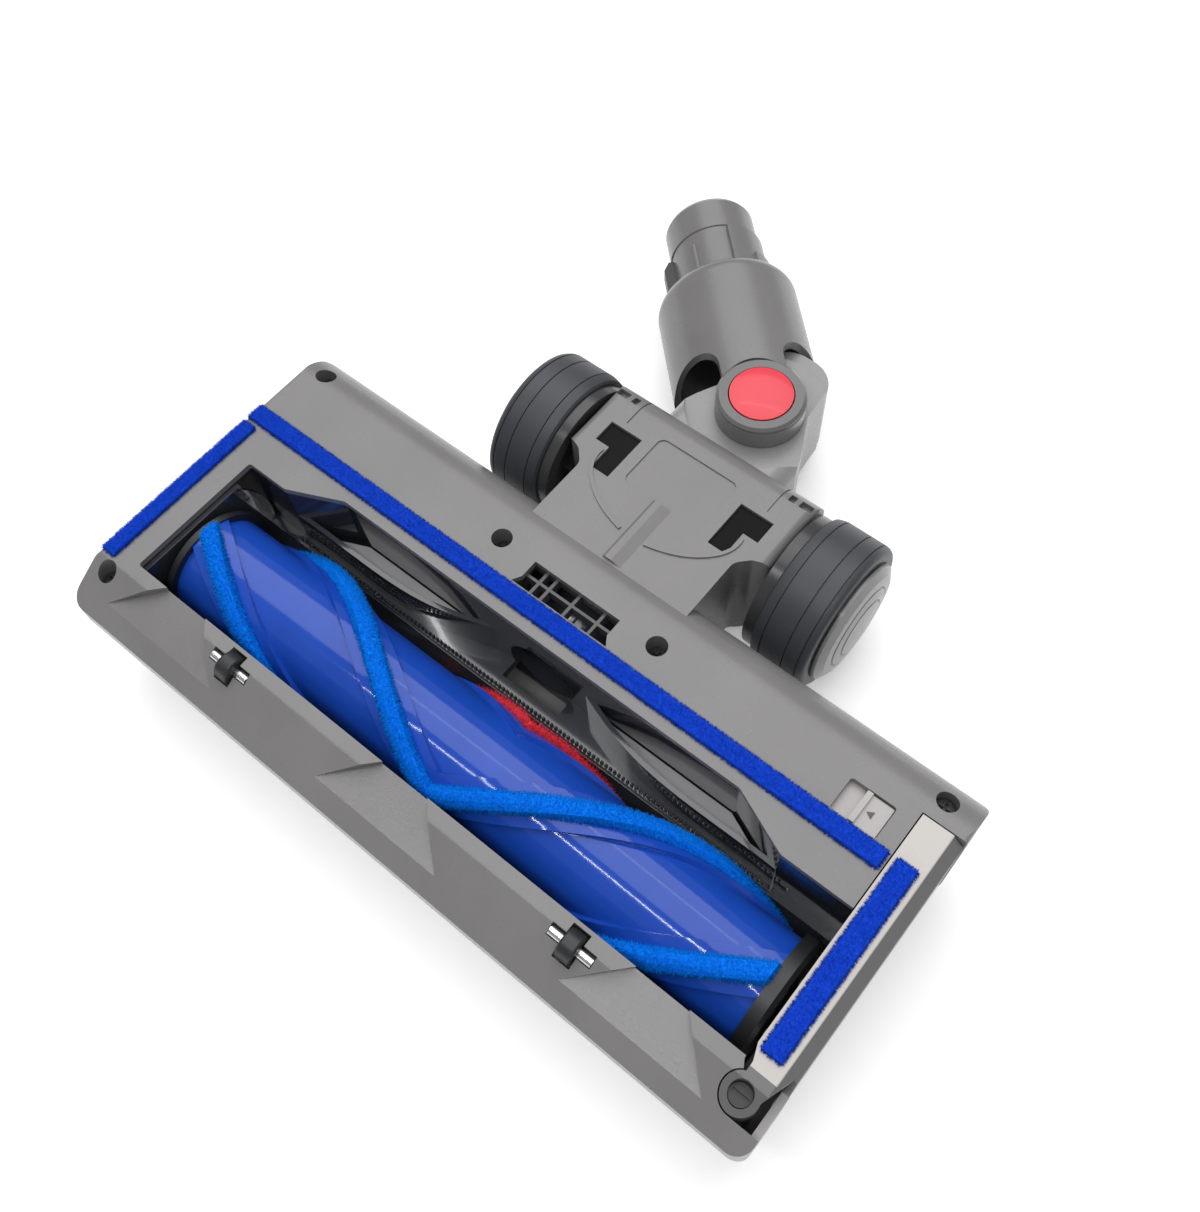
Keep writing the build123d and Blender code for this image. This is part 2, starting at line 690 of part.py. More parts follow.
export_step(end_door.part, "parts/end_door.step")

with BuildPart() as door_felt:
    with Locations(spot(door_felt_x, door_felt_y, -felt_groove)):
        Box(door_felt_width, door_felt_length, felt_height + felt_groove, align=standing)
    fillet(door_felt.edges().filter_by(Axis.Y).group_by(Axis.Z)[-1], 0.7)
door_felt.part.label = "door_felt"
export_step(door_felt.part, "parts/door_felt.step")

# Latch slider in its tray, with a grip bar and a tongue that stands against the door
with BuildPart() as latch_slider:
    with Locations(spot(latch_left - 2, (latch_front + latch_back) / 2, -4.7)):
        Box(19, 11.7, 2.1, align=(Align.MIN, Align.CENTER, Align.MIN))
    with Locations(spot(latch_left + 17, (latch_front + latch_back) / 2, -4.7)):
        Box(door_inner - gap - latch_left - 17, 4.4, 2.1, align=(Align.MIN, Align.CENTER, Align.MIN))
    with Locations(spot(latch_left + latch_travel + 0.5, (latch_front + latch_back) / 2, -4)):
        Box(8.4, latch_back - latch_front - 0.8, 3, align=(Align.MIN, Align.CENTER, Align.MIN))
        Box(1.7, latch_back - latch_front - 0.8, 4.2, align=(Align.MIN, Align.CENTER, Align.MIN))
latch_slider.part.label = "latch_slider"
export_step(latch_slider.part, "parts/latch_slider.step")

# Carriage: the housing between the wheels, seated against the rolled back edge of the head
with BuildPart() as carriage:
    with BuildSketch(side):
        with BuildLine():
            FilletPolyline(
                (60, -carriage_drop),
                (carriage_rear, -carriage_drop),
                (carriage_rear, -28),
                (116, -44),
                (92, -44),
                (77, -36),
                (60, -36),
                radius=(0, carriage_round, 8, 8, 6, 4, 0),
                close=True,
            )
        make_face()
    extrude(amount=head_width, both=True)
    with BuildSketch(sole):
        with BuildLine():
            FilletPolyline(
                (middle_x - carriage_neck_half, 50),
                (middle_x - carriage_neck_half, 90),
                (middle_x - 33, 94),
                (middle_x - carriage_half, 96),
                (middle_x - carriage_half, 140),
                (middle_x + carriage_half, 140),
                (middle_x + carriage_half, 96),
                (middle_x + 33, 94),
                (middle_x + carriage_neck_half, 90),
                (middle_x + carriage_neck_half, 50),
                radius=(0, 4, 3, 1.5, 0, 0, 1.5, 3, 4, 0),
                close=True,
            )
        make_face()
    extrude(amount=-sole_height, mode=Mode.INTERSECT)
    with BuildSketch(front):
        with Locations((middle_x, -sole_height)):
            RectangleRounded(2 * carriage_half, 2 * (sole_height - carriage_drop), 3)
    extrude(amount=2 * carriage_rear, both=True, mode=Mode.INTERSECT)
    add(head_outer, mode=Mode.SUBTRACT)
    # Seams and clip slots at the rounded back, near the wheels
    for turn in (-1, 1):
        with BuildSketch(side.offset(middle_x + turn * seam_half)):
            with Locations((carriage_rear, -carriage_drop)):
                Rectangle(2 * 14.8, 30)
            with BuildLine():
                FilletPolyline(
                    (60, -60),
                    (60, -carriage_drop - 0.5),
                    (carriage_rear - 0.5, -carriage_drop - 0.5),
                    (carriage_rear - 0.5, -60),
                    radius=(0, 0, carriage_round - 0.5, 0),
                    close=True,
                )
            make_face(mode=Mode.SUBTRACT)
        extrude(amount=0.25, both=True, mode=Mode.SUBTRACT)
        for slot_x, slot_width in ((seam_half + 8.2, 4.2), (seam_half + 3.3, 2.2)):
            with Locations(spot(middle_x + turn * slot_x, carriage_rear - 6, -carriage_drop - 3.4)):
                Box(slot_width, 3, 10, align=standing, mode=Mode.SUBTRACT)
    # Room for the neck
    with BuildSketch(side.offset(middle_x)):
        with Locations((wheel_y, -wheel_drop)):
            Circle(neck_drum + gap)
        with BuildLine():
            Polyline(
                (82, -wheel_drop),
                (wheel_y, -wheel_drop),
                (wheel_y, -arm_top + gap),
                (150, -arm_top + gap),
                (150, -60),
                (82, -60),
                close=True,
            )
        make_face()
    extrude(amount=slot_half, both=True, mode=Mode.SUBTRACT)
    with Locations(spot(middle_x, head_rear, -duct_drop)):
        Cylinder(duct_radius + 0.2, 40, rotation=(90, 0, 0), mode=Mode.SUBTRACT)
    with Locations(spot(middle_x, wheel_y, -wheel_drop)):
        Cylinder(trunnion_radius + slip, 56, rotation=(0, 90, 0), mode=Mode.SUBTRACT)
        Cylinder(axle_radius + seat, 120, rotation=(0, 90, 0), mode=Mode.SUBTRACT)
    # Windows and label recess
    for turn in (-1, 1):
        with BuildSketch(sole.offset(-carriage_drop)):
            with BuildLine():
                Polyline(
                    (middle_x + turn * 30.9, 99.8),
                    (middle_x + turn * 30.9, 108),
                    (middle_x + turn * 19, 108),
                    (middle_x + turn * 19, 91),
                    (middle_x + turn * 25.6, 91),
                    (middle_x + turn * 25.6, 99.8),
                    close=True,
                )
            make_face()
        extrude(amount=-1.5, mode=Mode.SUBTRACT)
    with BuildSketch(sole.offset(-carriage_drop)):
        with Locations((middle_x, 102.75)):
            RectangleRounded(29.6, 19.9, 2.5)
    extrude(amount=-0.5, mode=Mode.SUBTRACT)
    # Middle rib and arc ridges
    with BuildSketch(front.offset(-92.8)):
        with BuildLine():
            Polyline(
                (middle_x - 3, -carriage_drop - 0.3),
                (middle_x - 1.6, -carriage_drop + 1.1),
                (middle_x + 0.6, -carriage_drop + 1.1),
                (middle_x + 5, -carriage_drop - 0.3),
                close=True,
            )
        make_face()
    extrude(amount=24.5)
    with BuildSketch(sole.offset(-carriage_drop - 0.3)):
        with BuildLine():
            for turn in (-1, 1):
                Spline(
                    (middle_x + turn * 26.6, 98),
                    (middle_x + turn * 26.4, 93.5),
                    (middle_x + turn * 21.5, 86.6),
                    (middle_x + turn * 13.2, 81.5),
                    (middle_x + turn * 4.5, 78.9),
                )
        trace(line_width=1.1)
    extrude(amount=0.9)
carriage.part.label = "carriage"
export_step(carriage.part, "parts/carriage.step")

# Black plates at the bottom of the carriage's windows
for liner_side, turn in (("left", -1), ("right", 1)):
    with BuildPart() as window_liner:
        with BuildSketch(sole.offset(-carriage_drop - 1.5)):
            with BuildLine():
                Polyline(
                    (middle_x + turn * 30.8, 99.9),
                    (middle_x + turn * 30.8, 107.9),
                    (middle_x + turn * 19.1, 107.9),
                    (middle_x + turn * 19.1, 91.1),
                    (middle_x + turn * 25.5, 91.1),
                    (middle_x + turn * 25.5, 99.9),
                    close=True,
                )
            make_face()
        extrude(amount=0.5)
    window_liner.part.label = f"window_liner_{liner_side}"
    export_step(window_liner.part, f"parts/window_liner_{liner_side}.step")

# Wheels on stub axles
for wheel_side, turn in (("left", -1), ("right", 1)):
    wheel_face = Plane(origin=spot(middle_x, wheel_y, -wheel_drop), x_dir=(turn, 0, 0), z_dir=(0, -turn, 0))
    wheel_axis = Axis(spot(middle_x, wheel_y, -wheel_drop), (1, 0, 0))
    with BuildPart() as wheel_axle:
        with Locations(spot(middle_x + turn * 44.5, wheel_y, -wheel_drop)):
            Cylinder(axle_radius, 33, rotation=(0, 90, 0))
    wheel_axle.part.label = f"axle_{wheel_side}"
    export_step(wheel_axle.part, f"parts/axle_{wheel_side}.step")
    with BuildPart() as tyre:
        with BuildSketch(wheel_face):
            with BuildLine():
                FilletPolyline(
                    (tyre_inner, rim_radius + seat),
                    (tyre_inner, wheel_radius - 0.6),
                    (tyre_inner + 3, wheel_radius),
                    (tyre_outer - 3, wheel_radius),
                    (tyre_outer, wheel_radius - 0.6),
                    (tyre_outer, rim_radius + seat),
                    radius=(0, 1, 2, 2, 1, 0),
                    close=True,
                )
            make_face()
        revolve(axis=wheel_axis)
    tyre.part.label = f"tyre_{wheel_side}"
    export_step(tyre.part, f"parts/tyre_{wheel_side}.step")
    with BuildPart() as hub:
        with BuildSketch(wheel_face):
            with BuildLine():
                Polyline(
                    (rim_inner, axle_radius + slip),
                    (rim_inner, 9),
                    (rim_inner + 2, 9),
                    (rim_inner + 2, 18),
                    (rim_inner, 18),
                    (rim_inner, rim_radius + 2.2),
                    (tyre_inner - seat, rim_radius + 2.2),
                    (tyre_inner - seat, rim_radius),
                    (tyre_outer + 0.6, rim_radius),
                    (tyre_outer + 0.6, 18),
                    (rim_inner + 8, 18),
                    (rim_inner + 8, 7),
                    (tyre_outer - 1, 7),
                    (tyre_outer - 1, axle_radius + slip),
                    close=True,
                )
            make_face()
        revolve(axis=wheel_axis)
    hub.part.label = f"hub_{wheel_side}"
    export_step(hub.part, f"parts/hub_{wheel_side}.step")
    with BuildPart() as hub_cap:
        with BuildSketch(wheel_face):
            with BuildLine():
                Polyline(
                    (tyre_outer + 0.6 + seat, 0),
                    (tyre_outer + 0.6 + seat, 20.4),
                    (tyre_outer + 1.6, 20.4),
                    (tyre_outer + 3.2, 17.5),
                    (tyre_outer + 3.6, 14.4),
                    (tyre_outer + 3.2, 14),
                    (tyre_outer + 3.8, 13.6),
                    (tyre_outer + 4.3, 10.4),
                    (tyre_outer + 3.9, 10),
                    (tyre_outer + 4.5, 9.6),
                    (tyre_outer + 4.9, 4),
                    (tyre_outer + 5, 0),
                    close=True,
                )
            make_face()
        revolve(axis=wheel_axis)
    hub_cap.part.label = f"hub_cap_{wheel_side}"
    export_step(hub_cap.part, f"parts/hub_cap_{wheel_side}.step")

# Lower neck: drum in the carriage, arm, and the tongue inside the tube
with BuildPart() as lower_neck:
    with BuildSketch(sole.offset(1 - arm_top)):
        with BuildLine():
            FilletPolyline(
                (middle_x - arm_half - 1, wheel_y),
                (middle_x - arm_half - 1, 130),
                (middle_x - 20.5, 138),
                (middle_x - 13.5, 152),
                (middle_x - 11.5, 173),
                (middle_x + 11.5, 173),
                (middle_x + 13.5, 152),
                (middle_x + 20.5, 138),
                (middle_x + arm_half + 1, 130),
                (middle_x + arm_half + 1, wheel_y),
                radius=(0, 4, 8, 8, 11, 11, 8, 8, 4, 0),
                close=True,
            )
        make_face()
    extrude(amount=-2 * (tube_drop - arm_top) - 2)
    with BuildSketch(front):
        with Locations((middle_x, -tube_drop)):
            RectangleRounded(2 * arm_half, 2 * (tube_drop - arm_top), 6)
    extrude(amount=2 * swivel_y, both=True, mode=Mode.INTERSECT)
    # Heel that clears the duct when the neck tilts
    with BuildSketch(side):
        with BuildLine():
            Polyline(
                (wheel_y - neck_drum, 1.2 - wheel_drop - neck_drum),
                (wheel_y + 3, 1.2 - wheel_drop - neck_drum),
                (wheel_y + 22, arm_top - 2 * tube_drop),
                (wheel_y + 22, -2 * tube_drop),
                (wheel_y - neck_drum, -2 * tube_drop),
                close=True,
            )
        make_face()
    extrude(amount=2 * arm_half, both=True, mode=Mode.SUBTRACT)
    with Locations(spot(middle_x, wheel_y, -wheel_drop)):
        Cylinder(neck_drum, 2 * (slot_half - gap), rotation=(0, 90, 0))
    # Steps that clear the tube's cheeks above and below
    cheek_low = sole.offset(cheek_clear - 2 * tube_drop)
    for step_plane, step_amount in ((sole.offset(-cheek_clear), 30), (cheek_low, -30)):
        with BuildSketch(step_plane):
            with Locations((middle_x, swivel_y)):
                Circle(collar_bore + 2.5)
            with Locations((middle_x, swivel_y + 30)):
                Rectangle(80, 60)
        extrude(amount=step_amount, mode=Mode.SUBTRACT)
    # The tongue's end is lower, to pass inside the tube's wall
    tongue_low = sole.offset(tongue_clear - 2 * tube_drop)
    for step_plane, step_amount in ((sole.offset(-tongue_clear), 30), (tongue_low, -30)):
        with BuildSketch(step_plane):
            with Locations((middle_x, swivel_y + 30)):
                Rectangle(80, 60)
            with Locations((middle_x, swivel_y)):
                Circle(collar_bore + 1.2, mode=Mode.SUBTRACT)
        extrude(amount=step_amount, mode=Mode.SUBTRACT)
    # Air passage, trunnions and pivot holes
    with Locations(spot(middle_x, wheel_y - neck_drum - 5, -wheel_drop - 1)):
        Cylinder(13, 45, rotation=(-90, 0, 0), align=standing, mode=Mode.SUBTRACT)
    with Locations(spot(middle_x, wheel_y, -tube_drop)):
        Cylinder(9.5, 100, rotation=(-90, 0, 0), align=standing, mode=Mode.SUBTRACT)
    for turn in (-1, 1):
        with Locations(spot(middle_x + turn * (slot_half - gap - 1), wheel_y, -wheel_drop)):
            Cylinder(trunnion_radius, 9.6, rotation=(0, 90, 0))
    with Locations(spot(middle_x, swivel_y, -cheek_clear)):
        Cylinder(swivel_pin + slip, 9, mode=Mode.SUBTRACT)
    with Locations(spot(middle_x, swivel_y, cheek_clear - 2 * tube_drop)):
        Cylinder(swivel_pin + slip, 9, mode=Mode.SUBTRACT)
lower_neck.part.label = "lower_neck"
export_step(lower_neck.part, "parts/lower_neck.step")

# Tube: planes through the swivel axis, along the tube and in plan
tube_dir = (-sin(radians(swing)), cos(radians(swing)), 0)
tube_across = (cos(radians(swing)), sin(radians(swing)), 0)
tube_section = Plane(origin=spot(middle_x, swivel_y, -tube_drop), x_dir=tube_dir, z_dir=tube_across)
tube_plan = Plane(origin=spot(middle_x, swivel_y, -tube_drop), x_dir=tube_dir, z_dir=(0, 0, 1))
tube_axis = Axis(spot(middle_x, swivel_y, -tube_drop), tube_dir)
tube_end = Plane(
    origin=spot(
        middle_x + (collar_end + seat) * tube_dir[0],
        swivel_y + (collar_end + seat) * tube_dir[1],
        -tube_drop,
    ),
    x_dir=tube_across,
    z_dir=tube_dir,
)

# Upper tube: collar with a round shoulder, cheeks above and below the tongue, and the boss of the button
with BuildPart() as upper_tube:
    with BuildSketch(tube_section):
        with BuildLine():
            FilletPolyline(
                (-cheek_radius, collar_bore),
                (-cheek_radius, collar_radius),
                (collar_end, collar_radius),
                (collar_end, spigot_radius + seat),
                (collar_end - 3.5, spigot_radius + seat),
                (collar_end - 3.5, collar_bore),
                radius=(0, 0, 6, 0, 0, 0),
                close=True,
            )
        make_face()
    revolve(axis=tube_axis)
    with BuildSketch(tube_plan):
        with Locations((-6.75, 0)):
            Rectangle(46.5, 70)
        with Locations((16.5, 17.8), (16.5, -17.8)):
            Circle(7.3)
        Circle(cheek_radius, mode=Mode.SUBTRACT)
        with Locations((8.25, 0)):
            Rectangle(16.6, 21, mode=Mode.SUBTRACT)
    extrude(amount=60, both=True, mode=Mode.SUBTRACT)
    with Locations(spot(middle_x, swivel_y, -boss_top)):
        Cylinder(cheek_radius + 0.3, 20, align=standing, mode=Mode.SUBTRACT)
        Cylinder(cheek_radius, cheek_clear - gap - boss_top, align=hanging)
    with Locations(spot(middle_x, swivel_y, -cheek_clear + gap)):
        Cylinder(swivel_pin, 4.6, align=hanging)
    with Locations(spot(middle_x, swivel_y, cheek_clear - gap - 2 * tube_drop)):
        Cylinder(10, 6.5, align=hanging)
        Cylinder(swivel_pin, 4.6, align=standing)
    with Locations(spot(middle_x, swivel_y, -cheek_clear + gap + 1.4)):
        Cylinder(button_radius + gap, 20, align=standing, mode=Mode.SUBTRACT)
upper_tube.part.label = "upper_tube"
export_step(upper_tube.part, "parts/upper_tube.step")

# Spigot that plugs into the wand, with a flange inside the collar, a rib and stepped lugs
with BuildPart() as spigot:
    with BuildSketch(tube_section):
        with BuildLine():
            Polyline(
                (collar_end - 10, spigot_bore),
                (collar_end - 10, collar_bore - seat),
                (collar_end - 3.5 - seat, collar_bore - seat),
                (collar_end - 3.5 - seat, spigot_radius - spigot_relief),
                (spigot_end - 1.5 - spigot_land, spigot_radius - spigot_relief),
                (spigot_end - 1.5 - spigot_land, spigot_radius),
                (spigot_end - 1.5, spigot_radius),
                (spigot_end, spigot_radius - 0.8),
                (spigot_end, spigot_bore),
                close=True,
            )
        make_face()
    revolve(axis=tube_axis)
    # Stepped lugs on the right and a rib on the left
    long_lug = spigot_end - 2.5 - spigot_land
    for lug_reach, lug_rise, lug_start in ((long_lug, lug_height, 12), (collar_end + 8, 2 * lug_height, 40)):
        with BuildSketch(tube_end):
            Circle(spigot_radius + lug_rise)
            Circle(spigot_radius - 0.5, mode=Mode.SUBTRACT)
            with BuildLine():
                Polyline(
                    (0, 0),
                    (40 * sin(radians(lug_start)), -40 * cos(radians(lug_start))),
                    (60, 0),
                    (40 * cos(radians(35)), 40 * sin(radians(35))),
                    close=True,
                )
            make_face(mode=Mode.INTERSECT)
        extrude(amount=lug_reach - collar_end - seat)
    with BuildSketch(tube_end):
        with Locations((-(spigot_radius - 0.2) * sin(radians(34)), -(spigot_radius - 0.2) * cos(radians(34)))):
            Circle(0.7)
    extrude(amount=15)
spigot.part.label = "spigot"
export_step(spigot.part, "parts/spigot.step")

# Bezel ring round the button
with BuildPart() as bezel_ring:
    with Locations(spot(middle_x, swivel_y, -boss_top)):
        Cylinder(cheek_radius - 0.2, 2.0, align=standing)
        Cylinder(button_radius + gap, 20, mode=Mode.SUBTRACT)
    chamfer(bezel_ring.edges().filter_by(GeomType.CIRCLE).group_by(Axis.Z)[-1].sort_by(SortBy.RADIUS)[-1], 0.9)
bezel_ring.part.label = "bezel_ring"
export_step(bezel_ring.part, "parts/bezel_ring.step")

# Red domed button
dome_radius = (button_radius ** 2 + 1.2 ** 2) / 2.4
with BuildPart() as release_button:
    with Locations(spot(middle_x, swivel_y, 0)):
        Cylinder(button_radius, 5.6, align=hanging)
    with Locations(spot(middle_x, swivel_y, -dome_radius)):
        Sphere(dome_radius, mode=Mode.INTERSECT)
release_button.part.label = "release_button"
export_step(release_button.part, "parts/release_button.step")

# Contact blade on the left of the spigot
with BuildPart() as contact_blade:
    with BuildSketch(tube_plan):
        with BuildLine():
            Polyline(
                (collar_end + seat, spigot_radius - 1),
                (collar_end + seat, spigot_radius + 3.3),
                (collar_end + 15, spigot_radius + 3.3),
                (collar_end + 18.5, spigot_radius + 1.2),
                (collar_end + 18.5, spigot_radius - 1),
                close=True,
            )
        make_face()
    extrude(amount=2.5, both=True)
    add(spigot.part, mode=Mode.SUBTRACT)
contact_blade.part.label = "contact_blade"
export_step(contact_blade.part, "parts/contact_blade.step")
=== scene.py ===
import math
import bmesh
import bpy
from mathutils import Matrix, Vector


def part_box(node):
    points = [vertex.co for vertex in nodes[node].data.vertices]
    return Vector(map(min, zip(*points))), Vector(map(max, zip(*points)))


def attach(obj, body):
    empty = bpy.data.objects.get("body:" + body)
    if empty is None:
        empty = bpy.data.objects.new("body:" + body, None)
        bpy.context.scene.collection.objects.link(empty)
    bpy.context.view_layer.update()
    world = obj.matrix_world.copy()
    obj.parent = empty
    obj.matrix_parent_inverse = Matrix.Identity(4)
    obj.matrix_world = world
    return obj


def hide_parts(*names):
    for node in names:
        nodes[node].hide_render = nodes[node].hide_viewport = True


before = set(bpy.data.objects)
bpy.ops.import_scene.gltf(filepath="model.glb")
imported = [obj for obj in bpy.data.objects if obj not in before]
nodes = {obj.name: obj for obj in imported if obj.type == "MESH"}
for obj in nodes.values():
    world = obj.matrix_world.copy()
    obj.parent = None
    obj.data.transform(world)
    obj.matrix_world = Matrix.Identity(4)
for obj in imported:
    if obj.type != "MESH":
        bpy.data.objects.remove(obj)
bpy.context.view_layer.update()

# Top housing: the tub that the head lies on, injection moulded in light grey plastic.
# Its satin skin has a fine spark texture, and the soleplate is screwed down on its rim.


def moulded(name, colour, shade, rough, grain, bump, coat=0.0, shine=0.5):
    """Moulded plastic: two close tones in soft clouds, a fine grain and a roughness that varies a little."""
    material = bpy.data.materials.new(name)
    material.use_nodes = True
    tree = material.node_tree
    shader = tree.nodes["Principled BSDF"]
    place = tree.nodes.new("ShaderNodeTexCoord")
    clouds = tree.nodes.new("ShaderNodeTexNoise")
    clouds.inputs["Scale"].default_value = 35
    clouds.inputs["Detail"].default_value = 4
    tones = tree.nodes.new("ShaderNodeValToRGB")
    tones.color_ramp.elements[0].position = 0.35
    tones.color_ramp.elements[0].color = (*shade, 1)
    tones.color_ramp.elements[1].position = 0.65
    tones.color_ramp.elements[1].color = (*colour, 1)
    skin = tree.nodes.new("ShaderNodeTexNoise")
    skin.inputs["Scale"].default_value = grain
    skin.inputs["Detail"].default_value = 3
    gloss = tree.nodes.new("ShaderNodeMapRange")
    gloss.inputs["To Min"].default_value = rough - 0.05
    gloss.inputs["To Max"].default_value = rough + 0.05
    relief = tree.nodes.new("ShaderNodeBump")
    relief.inputs["Strength"].default_value = bump
    relief.inputs["Distance"].default_value = 0.0002
    shader.inputs["Specular IOR Level"].default_value = shine
    shader.inputs["Coat Weight"].default_value = coat
    shader.inputs["Coat Roughness"].default_value = 0.04
    link = tree.links.new
    link(place.outputs["Object"], clouds.inputs["Vector"])
    link(place.outputs["Object"], skin.inputs["Vector"])
    link(clouds.outputs["Fac"], tones.inputs["Fac"])
    link(tones.outputs["Color"], shader.inputs["Base Color"])
    link(clouds.outputs["Fac"], gloss.inputs["Value"])
    link(gloss.outputs["Result"], shader.inputs["Roughness"])
    link(skin.outputs["Fac"], relief.inputs["Height"])
    link(relief.outputs["Normal"], shader.inputs["Normal"])
    return material


def dress(material, *names):
    """Gives a finish to CAD nodes."""
    for node in names:
        nodes[node].data.materials.clear()
        nodes[node].data.materials.append(material)


dress(moulded("housing_grey", (0.34, 0.332, 0.33), (0.31, 0.302, 0.3), 0.34, 2200, 0.12), "top_housing")

# Soleplate, carriage, neck and tube: the same warm grey plastic, moulded with a satin skin.
# The soleplate carries the mouth, the bevelled lip and the recesses; the carriage is fixed to its back.
# The lower neck that turns in the carriage is given a paler copy of this grey as painted light, and so are
# the shelves in the throat.
shell_grey = moulded("shell_grey", (0.203, 0.197, 0.199), (0.185, 0.18, 0.182), 0.27, 1700, 0.25)
dress(shell_grey, "soleplate", "carriage", "upper_tube", "spigot")
# Painted light: a paler copy of the shell grey, lifting the lower neck out of its shade.
neck_grey_painted_light = moulded("neck_grey_painted_light", (0.29, 0.283, 0.285), (0.265, 0.259, 0.261), 0.27, 1700, 0.25)
dress(neck_grey_painted_light, "lower_neck")
# Painted light: a paler copy of the shell grey, lifting the shelves in the throat out of their shade.
shelf_grey_painted_light = moulded("shelf_grey_painted_light", (0.42, 0.41, 0.42), (0.36, 0.35, 0.36), 0.3, 2600, 0.08)
dress(shelf_grey_painted_light, "shelf_left", "shelf_right")

# End door: the light plate beside the brush, with painted shade on its sides and round the knuckle at the
# pivot screw.
# It is one moulding; its flat top is light grey, lifted in part as a painted highlight, and the rest is
# painted dark as shade; the latch slider is a little darker.
door_grey = moulded("door_grey", (0.56, 0.53, 0.5), (0.52, 0.49, 0.465), 0.27, 2600, 0.1)
door_tree = door_grey.node_tree
door_mesh = nodes["end_door"].data
# Painted shade: below the flat top and near the knuckle, the door is coloured this dark grey for the shade
# that falls there.
door_painted_shade = (0.13, 0.127, 0.13)
plate_skin = 0.0003
knuckle_length = 0.0115
plate_level = max(v.co.z for v in door_mesh.vertices) - plate_skin
knuckle_end = min(v.co.y for v in door_mesh.vertices) + knuckle_length
door_place = door_tree.nodes.new("ShaderNodeTexCoord")
door_axes = door_tree.nodes.new("ShaderNodeSeparateXYZ")
on_top = door_tree.nodes.new("ShaderNodeMath")
on_top.operation = "GREATER_THAN"
on_top.inputs[1].default_value = plate_level
past_knuckle = door_tree.nodes.new("ShaderNodeMath")
past_knuckle.operation = "GREATER_THAN"
past_knuckle.inputs[1].default_value = knuckle_end
on_plate = door_tree.nodes.new("ShaderNodeMath")
on_plate.operation = "MULTIPLY"
# Mix: the door's grey on the lit flat top, and painted shade everywhere else.
painted_shade_mix = door_tree.nodes.new("ShaderNodeMix")
painted_shade_mix.data_type = "RGBA"
painted_shade_mix.inputs[6].default_value = (*door_painted_shade, 1)
door_tree.links.new(door_place.outputs["Object"], door_axes.inputs[0])
door_tree.links.new(door_axes.outputs["Z"], on_top.inputs[0])
door_tree.links.new(door_axes.outputs["Y"], past_knuckle.inputs[0])
door_tree.links.new(on_top.outputs[0], on_plate.inputs[0])
door_tree.links.new(past_knuckle.outputs[0], on_plate.inputs[1])
door_tree.links.new(on_plate.outputs[0], painted_shade_mix.inputs[0])
door_tree.links.new(door_tree.nodes["Color Ramp"].outputs["Color"], painted_shade_mix.inputs[7])
door_tree.links.new(painted_shade_mix.outputs[2], door_tree.nodes["Principled BSDF"].inputs["Base Color"])
dress(door_grey, "end_door")
latch_grey = moulded("latch_grey", (0.44, 0.425, 0.41), (0.4, 0.387, 0.374), 0.28, 2400, 0.08)
dress(latch_grey, "latch_slider")

# Brush chamber, throat and duct: one dark moulding behind the brush, in glossy black plastic.
# Its funnel wall leads the dust to the duct in the middle. Rings, rollers and screws are a duller black,
# and the window liners, the grille and the bezel have finishes of their own.
dress(moulded("chamber_black", (0.038, 0.042, 0.05), (0.028, 0.031, 0.038), 0.12, 1800, 0.03, 1.0),
      "brush_chamber", "airway_duct", "comb_strip")
dress(moulded("fitting_black", (0.02, 0.021, 0.024), (0.014, 0.015, 0.017), 0.4, 2400, 0.15),
      "sole_screw_middle_left", "sole_screw_middle_right", "sole_screw_rear_left", "sole_screw_rear_right",
      "sole_screw_front_left", "door_pivot_screw", "front_roller_left", "front_roller_right",
      "contact_blade", "motor_mount", "brush_ring", "brush_end_cap", "drive_coupler")
dress(moulded("window_black", (0.008, 0.008, 0.009), (0.004, 0.004, 0.005), 0.6, 2400, 0.1, 0.0, 0.12),
      "window_liner_left", "window_liner_right")
dress(moulded("grille_grey", (0.09, 0.09, 0.095), (0.06, 0.06, 0.065), 0.4, 2400, 0.12), "airway_grille")
dress(moulded("bezel_grey", (0.15, 0.147, 0.149), (0.13, 0.127, 0.13), 0.2, 2400, 0.05), "bezel_ring")

# Axles, bush and motor can: bright drawn steel, turned and polished.
# The axles sit in the soleplate and the carriage, and the motor can lies inside the brush.
steel = bpy.data.materials.new("axle_steel")
steel.use_nodes = True
steel_shader = steel.node_tree.nodes["Principled BSDF"]
steel_shader.inputs["Metallic"].default_value = 1
steel_place = steel.node_tree.nodes.new("ShaderNodeTexCoord")
steel_grain = steel.node_tree.nodes.new("ShaderNodeTexNoise")
steel_grain.inputs["Scale"].default_value = 900
steel_tone = steel.node_tree.nodes.new("ShaderNodeValToRGB")
steel_tone.color_ramp.elements[0].color = (0.5, 0.5, 0.5, 1)
steel_tone.color_ramp.elements[1].color = (0.75, 0.75, 0.76, 1)
steel_rough = steel.node_tree.nodes.new("ShaderNodeMapRange")
steel_rough.inputs["To Min"].default_value = 0.18
steel_rough.inputs["To Max"].default_value = 0.32
steel.node_tree.links.new(steel_place.outputs["Object"], steel_grain.inputs["Vector"])
steel.node_tree.links.new(steel_grain.outputs["Fac"], steel_tone.inputs["Fac"])
steel.node_tree.links.new(steel_grain.outputs["Fac"], steel_rough.inputs["Value"])
steel.node_tree.links.new(steel_tone.outputs["Color"], steel_shader.inputs["Base Color"])
steel.node_tree.links.new(steel_rough.outputs["Result"], steel_shader.inputs["Roughness"])
dress(steel, "front_axle_left", "front_axle_right", "axle_left", "axle_right", "end_bush", "brush_motor")

# Brush tube: royal blue plastic, moulded glossy, with ridges that hold the strips.
# It turns round the motor can, between the mount at its left and the bush at its right.
tube_blue = moulded("tube_blue", (0.012, 0.07, 0.46), (0.009, 0.06, 0.41), 0.1, 1500, 0.02, 0.0, 0.4)
dress(tube_blue, "brush_tube")


